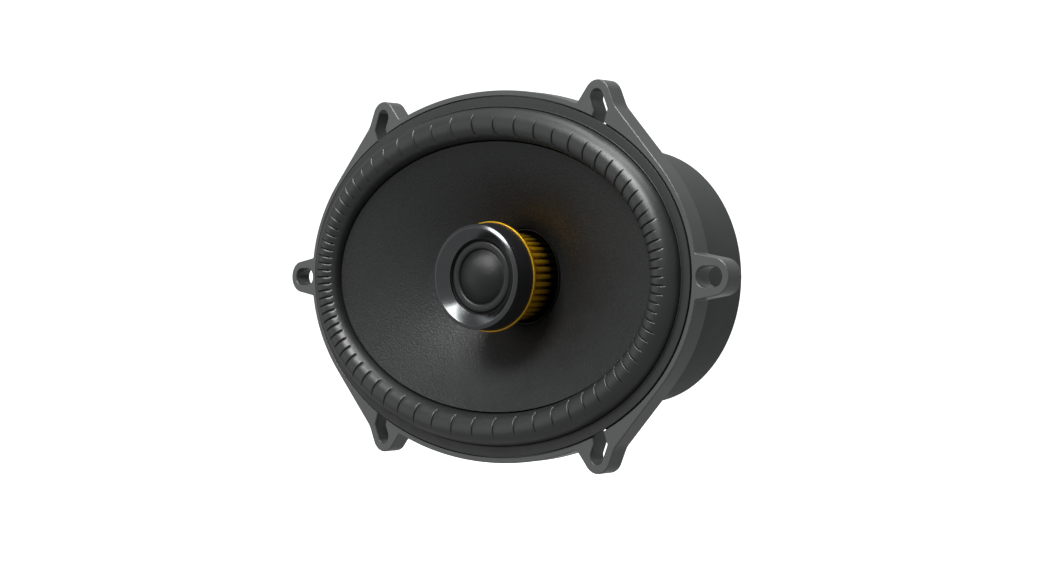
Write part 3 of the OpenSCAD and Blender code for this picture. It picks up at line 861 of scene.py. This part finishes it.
def oval_offset(x, z):
    """How far a point lies outside the cone's edge."""
    t = math.atan2(z * EDGE_A, x * EDGE_B)
    for _ in range(6):
        px, pz = EDGE_A * math.cos(t), EDGE_B * math.sin(t)
        tx, tz = -EDGE_A * math.sin(t), EDGE_B * math.cos(t)
        along = (x - px) * tx + (z - pz) * tz
        slope = tx * tx + tz * tz - ((x - px) * px + (z - pz) * pz)
        t += along / max(slope, 1.0)
    nx, nz = math.cos(t) / EDGE_A, math.sin(t) / EDGE_B
    size = math.hypot(nx, nz)
    return ((x - EDGE_A * math.cos(t)) * nx + (z - EDGE_B * math.sin(t)) * nz) / size


surround = surround_mesh()
radial_blend(
    surround, "surround_rubber", "surround",
    lambda p: smooth((ROLL - oval_offset(p.x, p.z)) / (ROLL - 0.5)),
)


# ---------------------------------------------------------------- spider
SPIDER_Y = 32.4
SPIDER_T = 0.5
SPIDER_FOOT_R = 42.5
SPIDER_FOOT_Y = 33.45
SPIDER_WAVES = 5
SPIDER_WAVE_H = 1.4


def spider_profile():
    """A corrugated skin from the former's wall to the foot on the basket's shelf."""
    r_in, r_out = NECK_R + 0.02, float(SHELF_R)
    front, rear = [], []
    count = 60
    for i in range(count + 1):
        f = i / count
        r = r_in + 1 + (r_out - r_in - 1) * f
        wave = -SPIDER_WAVE_H + SPIDER_WAVE_H * math.cos(TAU * SPIDER_WAVES * f)
        front.append((r, SPIDER_Y + wave))
        rear.append((r, SPIDER_Y + SPIDER_T + wave))
    front = [(r_in, SPIDER_Y)] + front + [(SPIDER_FOOT_R, SPIDER_FOOT_Y)]
    rear = [(r_in, SPIDER_Y + SPIDER_T)] + rear + [(SPIDER_FOOT_R, SPIDER_FOOT_Y + SPIDER_T)]
    return front + rear[::-1]


spider = turned("spider", spider_profile(), seg=160, sharp=60)
radial_blend(
    spider, "spider_cloth", "spider",
    lambda p: smooth((SHELF_R - math.hypot(p.x, p.z)) / (SHELF_R - NECK_R - 0.5)),
)


# ---------------------------------------------------------------- magnet cover
cover = turned(
    "magnet_cover",
    filleted([
        (46.4, 56), (48.7, 56, 0.4), (48.7, CREASE_Y, 0.2), (CAN_R, CREASE_Y, 0.8), (CAN_R, DEPTH, 1.9),
        (30, DEPTH, 0.5), (29, DEPTH - 0.9, 0.5), (14, DEPTH - 0.9, 0.5), (13, DEPTH - 0.3, 0.5),
        (0, DEPTH - 0.3), (0, DEPTH - 2.2), (46, DEPTH - 2.2, 1)
    ]),
    seg=192,
)
put(cover, "cover_plastic", nodes=["magnet_cover"])


# ---------------------------------------------------------------- post with its fins
FINS = 36
FIN_R = 16.5
FIN_ROOT = 14.6
FIN_END = 24.0


def fin_outline():
    """The column's outline: tapering fins with round tips and round valleys."""
    pitch = TAU / FINS
    out = []
    for k in range(FINS):
        middle = TAU * k / FINS
        for place, r in (
            (-0.5, FIN_ROOT), (-0.41, FIN_ROOT + 0.03), (-0.36, FIN_ROOT + 0.22), (-0.32, FIN_R - 0.5),
            (-0.28, FIN_R - 0.16), (-0.21, FIN_R - 0.04), (0.0, FIN_R), (0.21, FIN_R - 0.04),
            (0.28, FIN_R - 0.16), (0.32, FIN_R - 0.5), (0.36, FIN_ROOT + 0.22), (0.41, FIN_ROOT + 0.03)
        ):
            out.append((r, middle + place * pitch))
    return out


def tilted_y(x, h):
    """Where the head's plane h crosses the line along the main axis at x."""
    return PIVOT_Y + (x * math.sin(TILT) - h) / math.cos(TILT)


def post_mesh():
    outline = fin_outline()

    def circle(r, station):
        out = []
        for _, a in outline:
            x, z = r * math.cos(a), r * math.sin(a)
            out.append((x, station(x) if callable(station) else station, z))
        return np.array(out)

    def gear(station, shrink=0.0):
        out = []
        for r, a in outline:
            r = min(r, FIN_R - shrink)
            x, z = r * math.cos(a), r * math.sin(a)
            out.append((x, station(x) if callable(station) else station, z))
        return np.array(out)

    loops = [
        gear(lambda x: tilted_y(x, 1.4), 0.25),
        gear(lambda x: tilted_y(x, 1.15)),
        gear(FIN_END - 0.3), gear(FIN_END, 0.3),
        circle(FIN_ROOT - 0.1, FIN_END + 0.02), circle(9.0, 34.0), circle(9.0, 48.5), circle(4.9, 48.5),
        circle(4.9, 78.2), circle(4.6, 78.5), circle(2.6, 78.5),
        circle(2.6, lambda x: tilted_y(x, -3.0)), circle(13.5, lambda x: tilted_y(x, -3.0)),
        circle(13.5, lambda x: tilted_y(x, 1.4)),
    ]
    return skin("post", loops, sharp=40)


put(post_mesh(), "gold_anodised", nodes=["post"])


# ---------------------------------------------------------------- tweeter's head
def head_piece(name, profile, slot, body=ROOT, seg=128, sharp=40):
    return put(turned(name, filleted(profile), seg, head_axis, sharp), slot, body, [name])


TRIM_R = 20.65
TRIM_H = 1.4
HOUSING_H = 2.6
SHELL_TOP = 10.4
SHELL_FLOOR = 3.9
CUP_R = 13.5
RIM_R = 19.5
CLAMP_R = 13.8
CLAMP_H = 6.8
SEAT_H = 7.7
head_piece(
    "trim_ring",
    [(17, TRIM_H), (TRIM_R, TRIM_H, 0.35), (TRIM_R, HOUSING_H, 0.35), (17, HOUSING_H)],
    "gold_anodised", seg=160,
)
head_piece(
    "tweeter_housing",
    [
        (CUP_R, HOUSING_H), (20.2, HOUSING_H, 0.2), (19.4, SHELL_TOP, 0.15), (18.1, SHELL_TOP),
        (17.7, SHELL_FLOOR, 0.5), (CUP_R, SHELL_FLOOR)
    ],
    "housing_plastic", seg=160,
)
head_piece(
    "tweeter_bezel",
    [
        (13.9, SEAT_H, 0.1), (17.8, SEAT_H), (17.8, SHELL_TOP), (19.3, SHELL_TOP, 0.1), (RIM_R, 10.6, 0.2),
        (RIM_R, 11.25, 0.45), (18.15, 11.98, 0.45), (17.85, 11.95, 0.2), (13.9, 8.5, 0.3)
    ],
    "bezel_metal", seg=192, sharp=60,
)
head_piece(
    "tweeter_clamp_ring",
    [(CLAMP_R, CLAMP_H), (17.5, CLAMP_H), (17.5, SEAT_H, 0.1), (CLAMP_R, SEAT_H, 0.2)],
    "housing_plastic",
)

DIAPHRAGM_H = 7.2
DOME_R = 10.0
DOME_H = 4.4
DOME_BALL = (DOME_R ** 2 + DOME_H ** 2) / (2 * DOME_H)
TWEETER_ROLL = 11.75


def tweeter_roll():
    """The dome's surround: a flattened half roll, a leg down from it and the foot that is clamped."""
    skin_t = 0.22
    outer = [
        (TWEETER_ROLL + 1.5 * math.cos(a), DIAPHRAGM_H + 0.95 * math.sin(a) ** 0.8)
        for a in np.linspace(math.pi, 0, 21)
    ]
    inner = [
        (TWEETER_ROLL + (1.5 - skin_t) * math.cos(a), DIAPHRAGM_H + (0.95 - skin_t) * math.sin(a))
        for a in np.linspace(0, math.pi, 15)
    ]
    foot = [(13.27, 6.85), (13.4, 6.78), (16.5, 6.78), (16.5, 6.5), (13.05, 6.5)]
    return outer + foot + inner


def head_radius(p):
    """How far a point lies from the head's own axis."""
    return math.hypot(p.x * math.cos(TILT) + (p.y - PIVOT_Y) * math.sin(TILT), p.z)


radial_blend(
    turned("tweeter_surround", tweeter_roll(), 160, head_axis, 50), "tweeter_rubber", "tweeter_surround",
    lambda p: smooth((TWEETER_ROLL + 1.4 - head_radius(p)) / 2.8),
)


def dome_profile():
    centre = DIAPHRAGM_H + DOME_H - DOME_BALL
    half = math.asin(DOME_R / DOME_BALL)
    outer = [(DOME_BALL * math.sin(a), centre + DOME_BALL * math.cos(a)) for a in np.linspace(0, half, 28)]
    inner = [
        ((DOME_BALL - 0.3) * math.sin(a), centre + (DOME_BALL - 0.3) * math.cos(a))
        for a in np.linspace(half * 0.985, 0, 16)
    ]
    skirt = DIAPHRAGM_H - 0.2
    edge = [(DOME_R + 0.2, DIAPHRAGM_H - 0.03), (DOME_R + 0.2, skirt), (DOME_R - 0.3, skirt)]
    return outer + edge + inner


put(turned("tweeter_dome", dome_profile(), 160, head_axis, 50), "dome_cloth", DOME, ["tweeter_dome"])


# ---------------------------------------------------------------- leads
def line_through(points, count):
    """Points of one smooth curve through the given ones."""
    p = np.array(points, float)
    p = np.vstack([2 * p[0] - p[1], p, 2 * p[-1] - p[-2]])
    out = []
    for i in range(1, len(p) - 2):
        for k in range(count):
            t = k / count
            out.append(0.5 * (
                2 * p[i] + (p[i + 1] - p[i - 1]) * t
                + (2 * p[i - 1] - 5 * p[i] + 4 * p[i + 1] - p[i + 2]) * t * t
                + (3 * p[i] - p[i - 1] - 3 * p[i + 1] + p[i + 2]) * t ** 3
            ))
    out.append(p[-2])
    return np.array(out)


def tube(name, path, radius, sides=12, strands=0, twist=0.0, sharp=60):
    """A round tube along a path; with strands its section has that many lobes, which turn as it goes."""
    loops = []
    run = 0.0
    for i, p in enumerate(path):
        a, b = path[max(i - 1, 0)], path[min(i + 1, len(path) - 1)]
        run += np.linalg.norm(p - path[i - 1]) if i else 0.0
        d = (b - a) / np.linalg.norm(b - a)
        u = np.cross(d, (1.0, 0.0, 0.0))
        u /= np.linalg.norm(u)
        v = np.cross(d, u)
        loop = []
        for k in range(sides):
            angle = TAU * k / sides
            r = radius * (1 + (0.16 * math.cos(strands * (angle - twist * run)) if strands else 0))
            loop.append(p + r * (math.cos(angle) * u + math.sin(angle) * v))
        loops.append(np.array(loop))
    return skin(name, loops, closed=False, caps=True, sharp=sharp)


LEAD_RUN = [
    (2, 0), (20, 0), (40, 0), (60, 0), (74, 0), (77, -0.4), (79, -2), (79.7, -5), (79.7, -15), (79.7, -25),
    (79.7, -35), (79.7, -41), (79, -44), (77, -45.4), (74, -45.7), (65, -45.7), (55, -45.7), (47, -45.7),
    (44, -46.6), (42.6, -49), (42.4, -52), (41, -54.4), (38, -55.4), (35, -56.4), (33, -57)
]
LEAD_R = 0.8
LEAD_GAP = 1.2
for sign, name, slot in (
    (1, "tweeter_lead_positive", "wire_red"), (-1, "tweeter_lead_negative", "wire_black"),
):
    path = line_through([(sign * LEAD_GAP, y, z) for y, z in LEAD_RUN], 4)
    put(tube(name, path, LEAD_R), slot, nodes=[name])

TINSEL_RUN = [
    (15, 22, -57.3), (15, 20.5, -54), (14.6, 19.6, -50), (14, 19.6, -46), (13, 19.4, -42), (12, 18.4, -38),
    (11, 16, -34.6), (10.4, 13, -32.4), (10, 10.6, -31)
]
for sign, name in ((1, "tinsel_positive"), (-1, "tinsel_negative")):
    run = [(sign * x, y, z) for x, y, z in TINSEL_RUN]
    lead = tube(name, line_through(run, 12), 0.55, sides=20, strands=5, twist=1.6)
    lead.data.materials.append(FINISH["tinsel"])
    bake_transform(lead)
    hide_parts(name)


# ---------------------------------------------------------------- terminals, capacitor, small parts
eased("terminal_board", "terminal_board", "board_plastic", 0.35)
eased("terminal_positive", "terminal_positive", "terminal_tin", 0.12, segments=2)
eased("terminal_negative", "terminal_negative", "terminal_tin", 0.12, segments=2)
eased("terminal_rivets", "terminal_rivets", "terminal_tin", 0.25)
eased("capacitor_clip", "capacitor_clip", "board_plastic", 0.4)
eased("lead_eyelets", "lead_eyelets", "terminal_tin", 0.3, CONE)
eased("plate_screws", "plate_screws", "plated_steel", 0.2)
eased("post_nut", "post_nut", "plated_steel", 0.4)
put(
    turned(
        "capacitor",
        filleted([
            (0, 37), (0.4, 37), (0.4, 42), (4.7, 42, 0.3), (5.4, 42.9, 0.6), (5.4, 61.1, 0.6),
            (4.7, 62, 0.3), (0, 62)
        ]),
        64, lambda r, a, y: (-24.4 + r * math.cos(a), y, -52.3 + r * math.sin(a)),
    ),
    "capacitor_film", nodes=["capacitor"],
)
put(
    turned(
        "lead_grommet",
        filleted([
            (2.3, -53.3, 0.5), (4.4, -53.3, 0.6), (4.4, -51.8, 0.3), (3.1, -51.8, 0.2),
            (3.1, -47.8, 0.3), (2.3, -47.8, 0.3)
        ]),
        64, lambda r, a, z: (r * math.cos(a), 42.4 + r * math.sin(a), z),
    ),
    "tweeter_rubber", nodes=["lead_grommet"],
)
put(
    turned(
        "neck_collar",
        filleted([
            (NECK_R, 16.7), (NECK_R + 1.6, 16.7, 0.3), (NECK_R + 0.4, 19.9, 0.2), (NECK_R, 19.9)
        ]),
    ),
    "tweeter_rubber", CONE, ["neck_collar"],
)

for node, slot in (
    ("front_plate", "plated_steel"), ("magnet", "ferrite"), ("yoke", "plated_steel"),
    ("shorting_ring", "copper"), ("tweeter_pole_plate", "plated_steel"), ("tweeter_magnet", "neodymium"),
    ("tweeter_cup", "plated_steel"), ("former", "kapton"), ("voice_coil", "coil_wire"),
    ("tweeter_former", "kapton"), ("tweeter_coil", "coil_wire"),
):
    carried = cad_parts[node]
    carried.data.materials.clear()
    carried.data.materials.append(FINISH[slot])


# ---------------------------------------------------------------- floor, light and camera
def stage_material(name, colour, glow):
    n = Nodes(name)
    n.link(n.ramp(n.noise(3, 2.0), [(0.3, colour), (0.7, tuple(c * 1.01 for c in colour[:3]) + (1,))]),
           n.shader.inputs["Base Color"])
    n.shader.inputs["Roughness"].default_value = 0.9
    n.shader.inputs["Emission Color"].default_value = (1, 1, 1, 1)
    n.shader.inputs["Emission Strength"].default_value = glow
    return n.material


FLOOR_Z = -160.0
FLOOR_NEAR = -4000
SWEEP_START = 2600
SWEEP_R = 1400
WALL_TOP = 5200
STRIPS = 12
STRIP_W = 2000
bend = [(y, FLOOR_Z) for y in np.linspace(FLOOR_NEAR, SWEEP_START, 12)]
for a in np.radians(np.linspace(8, 90, 12)):
    bend.append((SWEEP_START + SWEEP_R * math.sin(a), FLOOR_Z + SWEEP_R * (1 - math.cos(a))))
bend.append((SWEEP_START + SWEEP_R, WALL_TOP))
view = Vector((-0.7012, 0.7130, 0)).normalized()
across = Vector((view.y, -view.x, 0))
verts, faces = [], []
for k in range(STRIPS + 1):
    x = STRIP_W * (k - STRIPS // 2)
    for y, z in bend:
        p = view * y + across * x
        verts.append((p.x, p.y, z))
n = len(bend)
for k in range(STRIPS):
    for j in range(n - 1):
        faces.append((k * n + j, (k + 1) * n + j, (k + 1) * n + j + 1, k * n + j + 1))
floor = obj_of("floor", verts, faces, 60)
floor.data.materials.append(stage_material("floor", (0.9, 0.9, 0.9, 1), 1.0))
floor.visible_glossy = False
floor.visible_diffuse = False

world = bpy.data.worlds.new("studio")
world.use_nodes = True
world.node_tree.nodes["Background"].inputs["Color"].default_value = (1, 1, 1, 1)
world.node_tree.nodes["Background"].inputs["Strength"].default_value = 0.31
bpy.context.scene.world = world


def area(name, direction, distance, size, watts):
    """A soft panel light that faces the middle of the flange."""
    data = bpy.data.lights.new(name, "AREA")
    data.shape = "RECTANGLE"
    data.size, data.size_y = size
    data.energy = watts
    obj = bpy.data.objects.new(name, data)
    bpy.context.scene.collection.objects.link(obj)
    d = Vector(direction).normalized()
    obj.location = d * distance
    obj.rotation_euler = (-d).to_track_quat("-Z", "Y").to_euler()
    return obj


right = Vector((0.7130, 0.7012, 0))
back = Vector((0.7012, -0.7130, 0))
up = Vector((0, 0, 1))
area("key", right * -0.42 + up * 0.76 + back * 0.5, 1.2, (0.7, 0.5), 12.4)
area("top", right * 0.05 + up, 1.5, (1.0, 1.0), 11.8)
area("left", right * -1.0 + back * 0.1, 1.6, (1.2, 1.2), 1.8)

camera_data = bpy.data.cameras.new("camera")
camera_data.sensor_width = 36
camera_data.lens = 59.81
camera_data.shift_x = -0.00068
camera_data.shift_y = -0.00831
camera = bpy.data.objects.new("camera", camera_data)
bpy.context.scene.collection.objects.link(camera)
camera.location = (0.4659, -0.4577, 0)
camera.rotation_euler = view.to_track_quat("-Z", "Y").to_euler()
bpy.context.scene.camera = camera
bpy.context.scene.view_settings.view_transform = "Standard"
